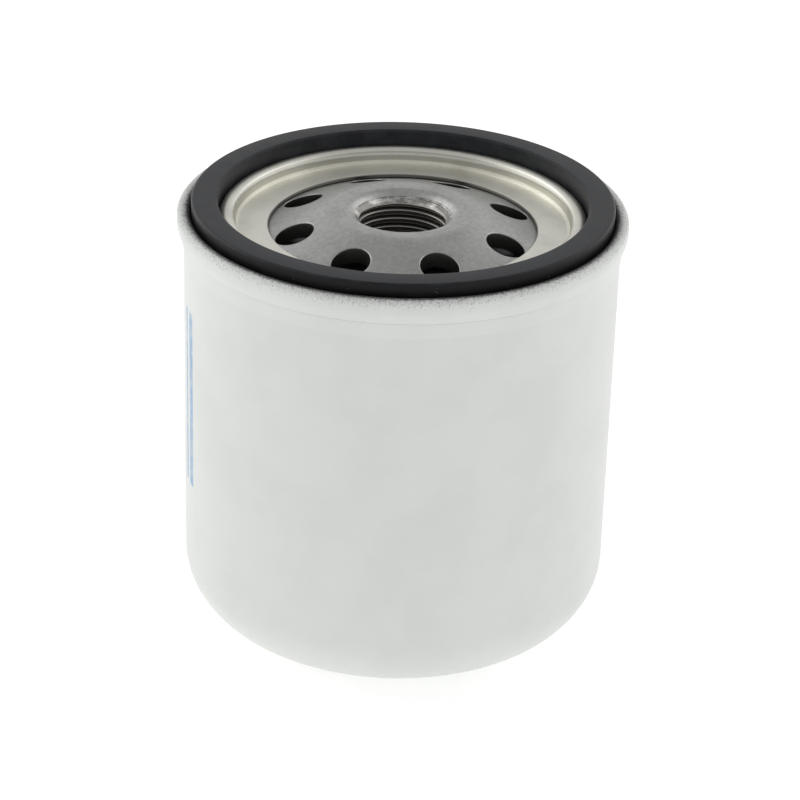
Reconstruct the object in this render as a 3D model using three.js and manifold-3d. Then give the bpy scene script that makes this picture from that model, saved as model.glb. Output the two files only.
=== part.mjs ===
// Spin-on engine oil filter with an M16 x 1.5 thread.
// Millimetres, +Z up. The origin is the centre of the closed end that the filter stands on.

import * as THREE from 'three';
import { mergeVertices } from 'three/addons/utils/BufferGeometryUtils.js';
import Module from 'manifold-3d';

const wasm = await Module();
wasm.setup();

// ---------------------------------------------------------------- driving dimensions

const HEIGHT = 76.6; // closed end to the gasket's top face

const CAN_RADIUS = 36.75;
const CAN_WALL = 0.45;
const CAN_CORNER_RADIUS = 11.4;
const DISH_RADIUS = 13.5; // stamped dish in the closed end
const DISH_DEPTH = 1.0;

const SEAM_RADIUS = 37.9; // outside of the rolled double seam
const SEAM_TOP = -1.95; // heights near the open end are below the gasket's top face
const SEAM_BOTTOM = -6.1;
const SEAM_HEM_RADIUS = 37.13; // middle of the rolled sheet at the seam's lower edge
const SEAM_TAPER_LEVEL = -4.3; // below this the seam closes in on the can
const FLANGE_TOP = -3.35; // the can's flange, folded inside the seam
const FLANGE_BOTTOM = -4.5;
const FLANGE_RADIUS = 37.13;
const RETAINER_SHEET = 0.65;

const GASKET_OUTER_RADIUS = 35.5;
const GASKET_INNER_RADIUS = 31.1;
const GASKET_HEIGHT = 6.0;
const GASKET_BEVEL = 0.35;

const LAND_LEVEL = -5.0; // flat land inside the gasket
const LAND_INNER_RADIUS = 22.65;
const BEAD_CREST_LEVEL = -2.5; // full-round bead between the land and the gasket
const BEAD_INNER_RADIUS = 28.2;

const PLATE_THICKNESS = 2.75;
const PLATE_RADIUS = 30.0;
const PLATE_RIM_LEVEL = -5.75;
const CONE_SLOPE = 0.35;
const CREST_OUTER_RADIUS = 12.9; // nearly flat crest round the bore
const CREST_INNER_RADIUS = 9.4;
const CREST_LEVEL = -2.25;
const INLET_COUNT = 8;
const INLET_RADIUS = 3.2;
const INLET_CIRCLE_RADIUS = 19.0;
const INLET_FIRST_ANGLE = THREE.MathUtils.degToRad( 19.1 );

const THREAD_MAJOR_RADIUS = 8.0;
const THREAD_PITCH = 1.5;
const THREAD_MINOR_RADIUS = THREAD_MAJOR_RADIUS - 0.5413 * THREAD_PITCH;
const COLLAR_RADIUS = 9.7;
const COLLAR_BOTTOM = -15.0;
const THREAD_TOP = -2.15; // start of the thread's groove, at angle 0
const THREAD_BOTTOM = -12.4; // below this the collar is bored clear of the thread
const CHAMFER_BOTTOM = -4.28;

const VALVE_HUB_TOP = -8.4;
const VALVE_HUB_BOTTOM = -13.75;
const VALVE_LIP_RADIUS = 25.8;
const VALVE_LIP_WIDTH = 1.3;

const CAP_SHEET = 0.5;
const CAP_RADIUS = 32.9;
const CAP_SKIRT = 3.75;
const UPPER_CAP_TOP = -12.4;
const WELL_RADIUS = 13.05; // inside of the upper cap's well
const LOWER_CAP_BOTTOM = 11.2;
const POTTING_DEPTH = 1.7;

const MEDIA_INNER_RADIUS = 16.1;
const MEDIA_OUTER_RADIUS = 31.4;
const MEDIA_THICKNESS = 0.8;
const PLEAT_COUNT = 32;
const FOLD_HALF_WIDTH = 0.55;

const TUBE_RADIUS = 14.8;
const TUBE_SHEET = 0.5;

const SEAT_LEVEL = 13.9; // face that the bypass seal closes on
const SEAT_OPENING_RADIUS = 5.4;
const BYPASS_SHEET = 0.5;
const BYPASS_PLATE_SHEET = 0.7;
const BYPASS_SEAL_HEIGHT = 1.0;
const PIN_RADIUS = 1.25;
const PIN_HOLE_RADIUS = 1.35;
const CAGE_TOP = 26.9;

const GAP = 0.05; // left between pieces that bear on each other
const LARGE_SEGMENTS = 44;
const MEDIUM_SEGMENTS = 36;
const SMALL_SEGMENTS = 24;

// ---------------------------------------------------------------- finishes

function finish( color, roughness, metalness ) {

	return new THREE.MeshStandardMaterial( { color, roughness, metalness } );

}

const WHITE_PAINT = [ 0xe4e6e1, 0.45, 0.0 ];
const PLATED_STEEL = [ 0xc6c4b4, 0.35, 0.9 ];
const BARE_STEEL = [ 0x9c9a9c, 0.4, 0.95 ];
const TINNED_STEEL = [ 0xb8bab8, 0.3, 0.9 ];
const SPRING_STEEL = [ 0x6d6c6a, 0.35, 1.0 ];
const BLACK_RUBBER = [ 0x26272a, 0.6, 0.0 ];
const FILTER_PAPER = [ 0xd9b36a, 0.9, 0.0 ];
const POTTING = [ 0x9c3b2c, 0.6, 0.0 ];
const COMPOUND = [ 0x8f8d86, 0.7, 0.0 ];

function piece( name, geometry, look ) {

	const mesh = new THREE.Mesh( geometry, finish( ...look ) );
	mesh.name = name;
	return mesh;

}

// ---------------------------------------------------------------- outlines

// Corners [ radius, height, fillet, steps ] to points, with each fillet as an arc.
function rounded( corners ) {

	const points = [];

	corners.forEach( ( [ r, z, fillet = 0, steps = 2 ], i ) => {

		const corner = new THREE.Vector2( r, z );

		if ( fillet === 0 ) {

			points.push( corner );
			return;

		}

		const back = new THREE.Vector2( corners[ i - 1 ][ 0 ], corners[ i - 1 ][ 1 ] ).sub( corner ).normalize();
		const ahead = new THREE.Vector2( corners[ i + 1 ][ 0 ], corners[ i + 1 ][ 1 ] ).sub( corner ).normalize();
		const half = Math.acos( back.dot( ahead ) ) / 2;
		const center = back.clone().add( ahead ).setLength( fillet / Math.sin( half ) ).add( corner );
		const reach = fillet / Math.tan( half );
		const first = back.multiplyScalar( reach ).add( corner );
		const last = ahead.multiplyScalar( reach ).add( corner );
		const spoke = first.clone().sub( center );
		const lastSpoke = last.sub( center );
		const sweep = Math.atan2( spoke.cross( lastSpoke ), spoke.dot( lastSpoke ) );

		for ( let k = 0; k <= steps; k ++ ) {

			points.push( first.clone().rotateAround( center, sweep * k / steps ) );

		}

	} );

	return points;

}

// Both faces of a sheet that follows a path, offset by half the thickness to each side.
function offsets( path, thickness, closed = false ) {

	const count = path.length;

	const normal = ( i ) => {

		const from = path[ ( i + count ) % count ];
		const to = path[ ( i + 1 + count ) % count ];
		return new THREE.Vector2( from.y - to.y, to.x - from.x ).normalize();

	};

	const side = ( sign ) => path.map( ( point, i ) => {

		const before = ( i === 0 && ! closed ) ? normal( 0 ) : normal( i - 1 );
		const after = ( i === count - 1 && ! closed ) ? normal( count - 2 ) : normal( i );
		const mitre = before.clone().add( after ).divideScalar( 1 + before.dot( after ) );
		return mitre.multiplyScalar( sign * thickness / 2 ).add( point );

	} );

	return [ side( 1 ), side( - 1 ) ];

}

function sheetOutline( corners, thickness ) {

	const [ one, other ] = offsets( rounded( corners ), thickness );
	return [ ...one, ...other.reverse() ];

}

// Turns an outline about +Z. An outline that doesn't end on the axis closes on itself.
function turned( outline, segments = LARGE_SEGMENTS ) {

	const points = THREE.ShapeUtils.area( outline ) > 0 ? [ ...outline ] : [ ...outline ].reverse();
	const onAxis = points[ 0 ].x === 0 && points.at( - 1 ).x === 0;

	if ( ! onAxis ) points.push( points[ 0 ] );

	return new THREE.LatheGeometry( points, segments ).rotateX( Math.PI / 2 );

}

function turnedSheet( corners, thickness, segments ) {

	return turned( sheetOutline( corners, thickness ), segments );

}

function turnedRing( innerRadius, outerRadius, bottom, top, segments ) {

	return turned( rounded( [
		[ innerRadius, bottom ],
		[ outerRadius, bottom ],
		[ outerRadius, top ],
		[ innerRadius, top ],
	] ), segments );

}

// Sweeps a section down a right-hand helix. The section's x is added to the radius.
function coiled( section, turns, stepsPerTurn, radiusAt, heightAt, curveSegments ) {

	const steps = Math.round( turns * stepsPerTurn );
	const geometry = new THREE.ExtrudeGeometry( section, { depth: 1, steps, curveSegments, bevelEnabled: false } );
	const position = geometry.attributes.position;

	for ( let i = 0; i < position.count; i ++ ) {

		const share = position.getZ( i );
		const angle = - share * turns * 2 * Math.PI;
		const radius = radiusAt( share ) + position.getX( i );
		const height = heightAt( share ) + position.getY( i );
		position.setXYZ( i, radius * Math.cos( angle ), radius * Math.sin( angle ), height );

	}

	return geometry;

}

// Wire spring from its top down, with the last half turn at each end lying flat.
function spring( { wireRadius, turns, topRadius, bottomRadius, top, bottom, stepsPerTurn } ) {

	const section = new THREE.Shape().absarc( 0, 0, wireRadius, 0, 2 * Math.PI );
	const flat = 0.5 / turns;
	const rise = ( share ) => THREE.MathUtils.clamp( ( share - flat ) / ( 1 - 2 * flat ), 0, 1 );

	return coiled(
		section, turns, stepsPerTurn,
		( share ) => THREE.MathUtils.lerp( topRadius, bottomRadius, share ),
		( share ) => THREE.MathUtils.lerp( top - wireRadius, bottom + wireRadius, rise( share ) ),
		3,
	);

}

// ---------------------------------------------------------------- cutting

function toSolid( geometry ) {

	const bare = geometry.clone();
	bare.deleteAttribute( 'normal' );
	bare.deleteAttribute( 'uv' );
	const merged = mergeVertices( bare );

	return new wasm.Manifold( new wasm.Mesh( {
		numProp: 3,
		vertProperties: new Float32Array( merged.attributes.position.array ),
		triVerts: new Uint32Array( merged.index.array ),
	} ) );

}

function cut( geometry, cutters ) {

	let solid = toSolid( geometry );

	for ( const cutter of cutters ) solid = solid.subtract( toSolid( cutter ) );

	const { vertProperties, triVerts } = solid.getMesh();
	const result = new THREE.BufferGeometry();
	result.setAttribute( 'position', new THREE.BufferAttribute( vertProperties, 3 ) );
	result.setIndex( new THREE.BufferAttribute( triVerts, 1 ) );
	result.computeVertexNormals();
	return result;

}

// ---------------------------------------------------------------- can and seam

// Drawn can: the closed end is at height 0, and the flange folds back on the wall at the open end.
function canister() {

	const innerRadius = CAN_RADIUS - CAN_WALL;
	const footRadius = CAN_RADIUS - CAN_CORNER_RADIUS;
	const hookTop = HEIGHT + FLANGE_TOP;
	const hookBottom = HEIGHT + FLANGE_BOTTOM;
	const flareTop = HEIGHT + SEAM_BOTTOM - 0.35;
	const flareBottom = flareTop - 2.75;
	const flareRadius = 37.08;

	const outside = rounded( [
		[ 0, DISH_DEPTH ],
		[ DISH_RADIUS - DISH_DEPTH, DISH_DEPTH ],
		[ DISH_RADIUS, 0 ],
		[ footRadius, 0 ],
		[ CAN_RADIUS, 0, CAN_CORNER_RADIUS, 5 ],
		[ CAN_RADIUS, flareBottom ],
		[ ( CAN_RADIUS + flareRadius ) / 2, flareBottom + 1.6 ],
		[ flareRadius, flareTop - 0.15 ],
		[ CAN_RADIUS, flareTop ],
		[ CAN_RADIUS, hookBottom ],
		[ FLANGE_RADIUS, hookBottom ],
		[ FLANGE_RADIUS, hookTop ],
	] );

	const inside = rounded( [
		[ innerRadius, hookTop ],
		[ innerRadius, CAN_WALL, CAN_CORNER_RADIUS - CAN_WALL, 5 ],
		[ DISH_RADIUS + CAN_WALL, CAN_WALL ],
		[ DISH_RADIUS + CAN_WALL - DISH_DEPTH, DISH_DEPTH + CAN_WALL ],
		[ 0, DISH_DEPTH + CAN_WALL ],
	] );

	return piece( 'canister', turned( [ ...outside, ...inside ] ), WHITE_PAINT );

}

// Pressed lid: land, bead, gasket groove, and the outer edge rolled over the can's flange.
function gasketRetainer() {

	const half = RETAINER_SHEET / 2;
	const footFillet = 0.4;
	const beadRound = 1.05;
	const beadCrest = BEAD_CREST_LEVEL - half;
	const beadInner = BEAD_INNER_RADIUS + half;
	const flankRadius = GASKET_INNER_RADIUS - 0.1 - half;
	const grooveLevel = - GASKET_HEIGHT - 0.1 - half;
	const grooveWallRadius = CAN_RADIUS - CAN_WALL - GAP - half;
	const crown = SEAM_TOP - half;
	const seamWallRadius = SEAM_RADIUS - half;

	return piece( 'gasket_retainer', turnedSheet( [
		[ LAND_INNER_RADIUS, LAND_LEVEL - half ],
		[ beadInner - 0.15, LAND_LEVEL - half, footFillet ],
		[ beadInner, beadCrest, beadRound, 3 ],
		[ flankRadius, beadCrest, beadRound, 3 ],
		[ flankRadius, grooveLevel ],
		[ grooveWallRadius, grooveLevel ],
		[ grooveWallRadius, crown, 0.65 ],
		[ seamWallRadius, crown, 0.65 ],
		[ seamWallRadius, SEAM_TAPER_LEVEL ],
		[ SEAM_HEM_RADIUS, SEAM_BOTTOM ],
	], RETAINER_SHEET ), PLATED_STEEL );

}

// Ring of compound above the flange, under the seam's crown.
function seamSealant() {

	const bottom = FLANGE_TOP + GAP;
	const top = SEAM_TOP - RETAINER_SHEET - 0.2;
	return piece( 'seam_sealant', turnedRing( 36.4, 37.05, bottom, top ), COMPOUND );

}

function sealingGasket() {

	const top = 0;
	const bottom = - GASKET_HEIGHT;

	return piece( 'sealing_gasket', turned( rounded( [
		[ GASKET_INNER_RADIUS, bottom ],
		[ GASKET_OUTER_RADIUS, bottom ],
		[ GASKET_OUTER_RADIUS, top - GASKET_BEVEL ],
		[ GASKET_OUTER_RADIUS - GASKET_BEVEL, top ],
		[ GASKET_INNER_RADIUS + GASKET_BEVEL, top ],
		[ GASKET_INNER_RADIUS, top - GASKET_BEVEL ],
	] ) ), BLACK_RUBBER );

}

// ---------------------------------------------------------------- base plate

// Height of the cone's upper face at a radius.
function coneLevel( radius ) {

	return PLATE_RIM_LEVEL + CONE_SLOPE * ( LAND_INNER_RADIUS - radius );

}

function basePlateBlank() {

	const collarRootRadius = 11.3; // where the collar runs into the plate's underside
	const reliefRadius = THREAD_MAJOR_RADIUS + 0.1;

	return turned( rounded( [
		[ PLATE_RADIUS, PLATE_RIM_LEVEL - PLATE_THICKNESS ],
		[ PLATE_RADIUS, PLATE_RIM_LEVEL ],
		[ LAND_INNER_RADIUS, PLATE_RIM_LEVEL ],
		[ CREST_OUTER_RADIUS, coneLevel( CREST_OUTER_RADIUS ) ],
		[ ( CREST_OUTER_RADIUS + CREST_INNER_RADIUS ) / 2, CREST_LEVEL + 0.03 ],
		[ CREST_INNER_RADIUS, CREST_LEVEL ],
		[ THREAD_MAJOR_RADIUS + 0.5, CREST_LEVEL - 0.4 ],
		[ THREAD_MAJOR_RADIUS - 0.05, CREST_LEVEL - 1.1 ],
		[ THREAD_MINOR_RADIUS, CHAMFER_BOTTOM ],
		[ THREAD_MINOR_RADIUS, THREAD_BOTTOM ],
		[ reliefRadius, THREAD_BOTTOM - 0.6 ],
		[ reliefRadius, COLLAR_BOTTOM ],
		[ COLLAR_RADIUS, COLLAR_BOTTOM ],
		[ COLLAR_RADIUS, coneLevel( COLLAR_RADIUS ) - PLATE_THICKNESS - 1.6 ],
		[ collarRootRadius, coneLevel( collarRootRadius ) - PLATE_THICKNESS - 0.1 ],
		[ LAND_INNER_RADIUS, PLATE_RIM_LEVEL - PLATE_THICKNESS ],
	] ), MEDIUM_SEGMENTS );

}

// Groove of an M profile: 60 degree flanks, an eighth of the pitch wide at the root.
function threadGroove() {

	const inset = 0.25; // how far the cutter reaches inside the bore
	const rootHalf = THREAD_PITCH / 16;
	const inner = THREAD_MINOR_RADIUS - inset;
	const innerHalf = rootHalf + ( THREAD_MAJOR_RADIUS - inner ) * Math.tan( Math.PI / 6 );
	const section = new THREE.Shape( [
		new THREE.Vector2( inner, - innerHalf ),
		new THREE.Vector2( THREAD_MAJOR_RADIUS, - rootHalf ),
		new THREE.Vector2( THREAD_MAJOR_RADIUS, rootHalf ),
		new THREE.Vector2( inner, innerHalf ),
	] );
	const turns = ( THREAD_TOP - THREAD_BOTTOM ) / THREAD_PITCH + 0.5;
	const heightAt = ( share ) => THREAD_TOP - share * turns * THREAD_PITCH;

	return coiled( section, turns, MEDIUM_SEGMENTS / 2, () => 0, heightAt );

}

function basePlate() {

	const cutters = [ threadGroove() ];

	for ( let i = 0; i < INLET_COUNT; i ++ ) {

		const angle = INLET_FIRST_ANGLE + i * 2 * Math.PI / INLET_COUNT;
		const drill = new THREE.CylinderGeometry( INLET_RADIUS, INLET_RADIUS, 4 * PLATE_THICKNESS, 16 );
		drill.rotateX( Math.PI / 2 );
		drill.translate( INLET_CIRCLE_RADIUS * Math.cos( angle ), INLET_CIRCLE_RADIUS * Math.sin( angle ), PLATE_RIM_LEVEL );
		cutters.push( drill );

	}

	return piece( 'base_plate', cut( basePlateBlank(), cutters ), BARE_STEEL );

}

// ---------------------------------------------------------------- anti-drain valve

// Rubber diaphragm: a hub on the collar, a thin web, and a lip that closes on the base plate.
function antiDrainValve() {

	const hubInner = COLLAR_RADIUS + GAP;
	const hubOuter = WELL_RADIUS - 0.1;
	const lipTop = PLATE_RIM_LEVEL - PLATE_THICKNESS - GAP;
	const lipInner = VALVE_LIP_RADIUS - VALVE_LIP_WIDTH;
	const webTop = lipTop - 0.4;
	const webThickness = 0.65;

	return piece( 'anti_drain_valve', turned( rounded( [
		[ hubInner, VALVE_HUB_BOTTOM ],
		[ hubOuter, VALVE_HUB_BOTTOM ],
		[ hubOuter, webTop - 0.2 - 1.6 * webThickness ],
		[ lipInner - 0.3, webTop - webThickness ],
		[ VALVE_LIP_RADIUS, lipTop - 0.55 ],
		[ VALVE_LIP_RADIUS, lipTop ],
		[ lipInner, lipTop ],
		[ lipInner - 0.9, webTop ],
		[ hubOuter + 0.45, webTop - 0.2 ],
		[ hubOuter - 0.55, VALVE_HUB_TOP ],
		[ hubInner, VALVE_HUB_TOP ],
	] ), MEDIUM_SEGMENTS ), BLACK_RUBBER );

}

// ---------------------------------------------------------------- filter element

function upperEndCap() {

	const half = CAP_SHEET / 2;
	const floorLevel = COLLAR_BOTTOM - GAP - half;
	const wellRadius = WELL_RADIUS + half;
	const topLevel = UPPER_CAP_TOP - half;
	const skirtRadius = CAP_RADIUS - half;

	return piece( 'upper_end_cap', turnedSheet( [
		[ 8.6, floorLevel ],
		[ wellRadius, floorLevel ],
		[ wellRadius, topLevel ],
		[ skirtRadius, topLevel, 0.8 ],
		[ skirtRadius, UPPER_CAP_TOP - CAP_SKIRT ],
	], CAP_SHEET, MEDIUM_SEGMENTS ), TINNED_STEEL );

}

function lowerEndCap() {

	const half = CAP_SHEET / 2;
	const level = LOWER_CAP_BOTTOM + half;
	const skirtRadius = CAP_RADIUS - half;

	return piece( 'lower_end_cap', turnedSheet( [
		[ 9.0, level ],
		[ skirtRadius, level, 0.8 ],
		[ skirtRadius, LOWER_CAP_BOTTOM + CAP_SKIRT ],
	], CAP_SHEET, MEDIUM_SEGMENTS ), TINNED_STEEL );

}

const POTTING_INNER_RADIUS = TUBE_RADIUS + 0.2;
const POTTING_OUTER_RADIUS = CAP_RADIUS - CAP_SHEET - 0.55;
const LOWER_POTTING_BOTTOM = LOWER_CAP_BOTTOM + CAP_SHEET + GAP;
const UPPER_POTTING_TOP = UPPER_CAP_TOP - CAP_SHEET - GAP;

function pottingRing( name, bottom ) {

	const top = bottom + POTTING_DEPTH;
	const ring = turnedRing( POTTING_INNER_RADIUS, POTTING_OUTER_RADIUS, bottom, top, MEDIUM_SEGMENTS );
	return piece( name, ring, POTTING );

}

const MEDIA_BOTTOM = LOWER_POTTING_BOTTOM + POTTING_DEPTH + GAP;
const MEDIA_TOP = HEIGHT + UPPER_POTTING_TOP - POTTING_DEPTH - GAP;

// One loop of paper: each fold is a short flat, and straight legs run between the folds.
function pleatedMedia() {

	const path = [];

	const addFold = ( radius, angle ) => {

		for ( const side of [ - 1, 1 ] ) {

			path.push( new THREE.Vector2( radius, side * FOLD_HALF_WIDTH ).rotateAround( new THREE.Vector2(), angle ) );

		}

	};

	for ( let i = 0; i < PLEAT_COUNT; i ++ ) {

		addFold( MEDIA_OUTER_RADIUS, 2 * Math.PI * i / PLEAT_COUNT );
		addFold( MEDIA_INNER_RADIUS, 2 * Math.PI * ( i + 0.5 ) / PLEAT_COUNT );

	}

	const [ inner, outer ] = offsets( path, MEDIA_THICKNESS, true );
	const section = new THREE.Shape( outer );
	section.holes.push( new THREE.Path( inner ) );
	const geometry = new THREE.ExtrudeGeometry( section, { depth: MEDIA_TOP - MEDIA_BOTTOM, bevelEnabled: false } );
	geometry.translate( 0, 0, MEDIA_BOTTOM );
	return piece( 'pleated_media', geometry, FILTER_PAPER );

}

// Folded strip over one outer fold, where the two ends of the paper meet.
function mediaClip() {

	const half = FOLD_HALF_WIDTH + MEDIA_THICKNESS / 2 + 0.5;
	const inner = MEDIA_OUTER_RADIUS - 4;
	const outer = MEDIA_OUTER_RADIUS + MEDIA_THICKNESS / 2 + 0.25;
	const path = [ [ inner, - half ], [ outer, - half ], [ outer, half ], [ inner, half ] ];
	const [ one, other ] = offsets( path.map( ( [ x, y ] ) => new THREE.Vector2( x, y ) ), 0.35 );
	const section = new THREE.Shape( [ ...one, ...other.reverse() ] );
	const geometry = new THREE.ExtrudeGeometry( section, { depth: MEDIA_TOP - MEDIA_BOTTOM - 0.4, bevelEnabled: false } );
	geometry.translate( 0, 0, MEDIA_BOTTOM + 0.2 );
	return piece( 'media_clip', geometry, TINNED_STEEL );

}

// Perforated tube: each drill goes right through, so it makes two holes.
function centerTube() {

	const bottom = LOWER_CAP_BOTTOM + CAP_SHEET + GAP;
	const top = HEIGHT + UPPER_CAP_TOP - CAP_SHEET - GAP;
	const rows = 5;
	const rowPitch = 9;
	const drillsPerRow = 3;
	const cutters = [];

	for ( let row = 0; row < rows; row ++ ) {

		for ( let k = 0; k < drillsPerRow; k ++ ) {

			const drill = new THREE.CylinderGeometry( 2.4, 2.4, 40, 6 );
			drill.rotateZ( ( k + ( row % 2 ) / 2 ) * Math.PI / drillsPerRow );
			drill.translate( 0, 0, ( bottom + top ) / 2 + ( row - ( rows - 1 ) / 2 ) * rowPitch );
			cutters.push( drill );

		}

	}

	const tube = turnedRing( TUBE_RADIUS - TUBE_SHEET, TUBE_RADIUS, bottom, top, SMALL_SEGMENTS );
	return piece( 'center_tube', cut( tube, cutters ), TINNED_STEEL );

}

// ---------------------------------------------------------------- bypass valve

const SEAL_BOTTOM = SEAT_LEVEL + GAP;
const PLATE_BOTTOM = SEAL_BOTTOM + BYPASS_SEAL_HEIGHT + GAP;

// Pressed neck that passes up through the lower cap, with its flange under the cap.
function bypassSeat() {

	const half = BYPASS_SHEET / 2;
	const flangeLevel = LOWER_CAP_BOTTOM - GAP - half;

	return piece( 'bypass_seat', turnedSheet( [
		[ 11.0, flangeLevel ],
		[ 8.6, flangeLevel ],
		[ 8.6, SEAT_LEVEL - half ],
		[ SEAT_OPENING_RADIUS, SEAT_LEVEL - half ],
	], BYPASS_SHEET, SMALL_SEGMENTS ), TINNED_STEEL );

}

function bypassSeal() {

	const top = SEAL_BOTTOM + BYPASS_SEAL_HEIGHT;
	const ring = turnedRing( PIN_HOLE_RADIUS, SEAT_OPENING_RADIUS + 1.9, SEAL_BOTTOM, top, SMALL_SEGMENTS );
	return piece( 'bypass_seal', ring, BLACK_RUBBER );

}

// Shallow cup that backs the seal and holds the spring's foot.
function bypassPlate() {

	const level = PLATE_BOTTOM + BYPASS_PLATE_SHEET / 2;

	return piece( 'bypass_plate', turnedSheet( [
		[ PIN_HOLE_RADIUS, level ],
		[ 7.35, level ],
		[ 7.35, level + 1.6 ],
	], BYPASS_PLATE_SHEET, SMALL_SEGMENTS ), TINNED_STEEL );

}

// Rivet head under the seal, collar on the plate, and the shank that slides in the cage.
function bypassPin() {

	const headTop = SEAL_BOTTOM - GAP;
	const collarBottom = PLATE_BOTTOM + BYPASS_PLATE_SHEET + GAP;

	return piece( 'bypass_pin', turned( rounded( [
		[ 0, headTop - 0.8 ],
		[ 2.3, headTop - 0.8 ],
		[ 2.8, headTop - 0.3 ],
		[ 2.8, headTop ],
		[ PIN_RADIUS, headTop ],
		[ PIN_RADIUS, collarBottom ],
		[ 2.2, collarBottom ],
		[ 2.2, collarBottom + 0.6 ],
		[ PIN_RADIUS, collarBottom + 0.6 ],
		[ PIN_RADIUS, CAGE_TOP + 4.2 ],
		[ 0.9, CAGE_TOP + 4.6 ],
		[ 0, CAGE_TOP + 4.6 ],
	] ), 16 ), SPRING_STEEL );

}

function bypassSpring() {

	return piece( 'bypass_spring', spring( {
		wireRadius: 0.45,
		turns: 5,
		topRadius: 5.2,
		bottomRadius: 5.2,
		top: CAGE_TOP - BYPASS_SHEET - GAP,
		bottom: PLATE_BOTTOM + BYPASS_PLATE_SHEET + GAP,
		stepsPerTurn: 12,
	} ), SPRING_STEEL );

}

// Keeper over the valve: a flange on the lower cap, a windowed wall, and a top that guides the pin.
function bypassCage() {

	const half = BYPASS_SHEET / 2;
	const flangeLevel = LOWER_CAP_BOTTOM + CAP_SHEET + GAP + half;
	const wallRadius = 9.35;
	const body = turnedSheet( [
		[ 11.8, flangeLevel ],
		[ wallRadius, flangeLevel ],
		[ wallRadius, CAGE_TOP - half ],
		[ 1.6, CAGE_TOP - half ],
	], BYPASS_SHEET, SMALL_SEGMENTS );
	const windows = [ 0, Math.PI / 2 ].map( ( angle ) =>
		new THREE.BoxGeometry( 30, 7.5, 9.5 ).rotateZ( angle ).translate( 0, 0, 19.8 )
	);

	return piece( 'bypass_cage', cut( body, windows ), TINNED_STEEL );

}

// ---------------------------------------------------------------- support spring

function elementSpring() {

	return piece( 'element_spring', spring( {
		wireRadius: 0.9,
		turns: 3.5,
		topRadius: 12.6,
		bottomRadius: 15.9,
		top: LOWER_CAP_BOTTOM - GAP,
		bottom: CAN_WALL + GAP,
		stepsPerTurn: 18,
	} ), SPRING_STEEL );

}

// ---------------------------------------------------------------- assembly

const filter = new THREE.Group();
filter.add( canister(), elementSpring() );

// Pieces measured down from the gasket's top face.
const openEnd = new THREE.Group();
openEnd.position.z = HEIGHT;
openEnd.add( gasketRetainer(), seamSealant(), sealingGasket(), basePlate(), antiDrainValve() );
openEnd.add( upperEndCap(), pottingRing( 'upper_potting', UPPER_POTTING_TOP - POTTING_DEPTH ) );
filter.add( openEnd );

const element = new THREE.Group();
element.add( pleatedMedia(), mediaClip(), centerTube(), lowerEndCap() );
element.add( pottingRing( 'lower_potting', LOWER_POTTING_BOTTOM ) );
element.add( bypassSeat(), bypassSeal(), bypassPlate(), bypassPin(), bypassSpring(), bypassCage() );
filter.add( element );

export default filter;
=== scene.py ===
"""Spin-on oil filter: fine meshes, procedural finishes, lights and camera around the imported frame.

Outlines are in millimetres. Heights near the open end are measured from the gasket's top face.
"""

import math

import bmesh
import bpy
import numpy as np
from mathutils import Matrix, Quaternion, Vector


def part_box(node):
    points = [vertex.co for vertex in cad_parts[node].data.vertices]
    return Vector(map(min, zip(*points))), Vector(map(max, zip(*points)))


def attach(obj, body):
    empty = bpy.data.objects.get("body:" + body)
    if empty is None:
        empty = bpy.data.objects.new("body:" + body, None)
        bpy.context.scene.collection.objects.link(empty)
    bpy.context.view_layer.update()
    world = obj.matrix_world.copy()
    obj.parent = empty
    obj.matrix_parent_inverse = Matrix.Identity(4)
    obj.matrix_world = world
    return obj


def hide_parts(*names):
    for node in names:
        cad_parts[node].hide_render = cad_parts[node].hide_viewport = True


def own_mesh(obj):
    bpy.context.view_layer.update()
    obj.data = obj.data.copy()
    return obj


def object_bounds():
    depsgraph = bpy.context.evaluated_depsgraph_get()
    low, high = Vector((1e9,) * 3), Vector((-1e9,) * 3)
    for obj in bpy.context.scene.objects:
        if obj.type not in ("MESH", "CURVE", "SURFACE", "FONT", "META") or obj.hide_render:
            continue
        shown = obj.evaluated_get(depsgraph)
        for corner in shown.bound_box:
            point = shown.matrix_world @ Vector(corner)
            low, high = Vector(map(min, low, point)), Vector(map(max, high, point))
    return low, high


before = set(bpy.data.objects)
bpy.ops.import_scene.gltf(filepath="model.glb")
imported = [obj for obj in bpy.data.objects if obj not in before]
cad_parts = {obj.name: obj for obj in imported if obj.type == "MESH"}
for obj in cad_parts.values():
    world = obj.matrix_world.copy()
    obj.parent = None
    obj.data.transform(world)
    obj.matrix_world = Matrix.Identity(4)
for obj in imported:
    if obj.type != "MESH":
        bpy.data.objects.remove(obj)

cad_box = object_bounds()

MM = 0.001
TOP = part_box("sealing_gasket")[1].z / MM  # height of the gasket's top face
TURN = 2 * math.pi


def box_mm(node):
    """Outer radius, lowest and highest height of a turned CAD node, in mm."""
    low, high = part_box(node)
    return (high.x - low.x) / 2 / MM, low.z / MM, high.z / MM


# ---------------------------------------------------------------- driving dimensions

CAN_RADIUS = 36.75
CAN_WALL = 0.45
CAN_CORNER_RADIUS = 11.4
DISH_RADIUS = 13.5
DISH_DEPTH = 1.0

SEAM_RADIUS = box_mm("gasket_retainer")[0]
SEAM_TOP = box_mm("gasket_retainer")[2] - TOP
SEAM_BOTTOM = -6.1
SEAM_TAPER_LEVEL = -4.2  # below this the seam closes in on the can
SEAM_HEM_RADIUS = 36.97  # middle of the rolled sheet at the seam's lower edge
FLANGE_TOP = -3.35  # top of the can's wall, inside the seam
FLARE_BOTTOM = -8.9  # the can widens from here up to the seam
FLARE_TOP = -6.16
FLARE_RADIUS = 37.22
RETAINER_SHEET = 0.65

GASKET_OUTER_RADIUS = box_mm("sealing_gasket")[0]
GASKET_INNER_RADIUS = 31.1
GASKET_HEIGHT = TOP - box_mm("sealing_gasket")[1]

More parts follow.
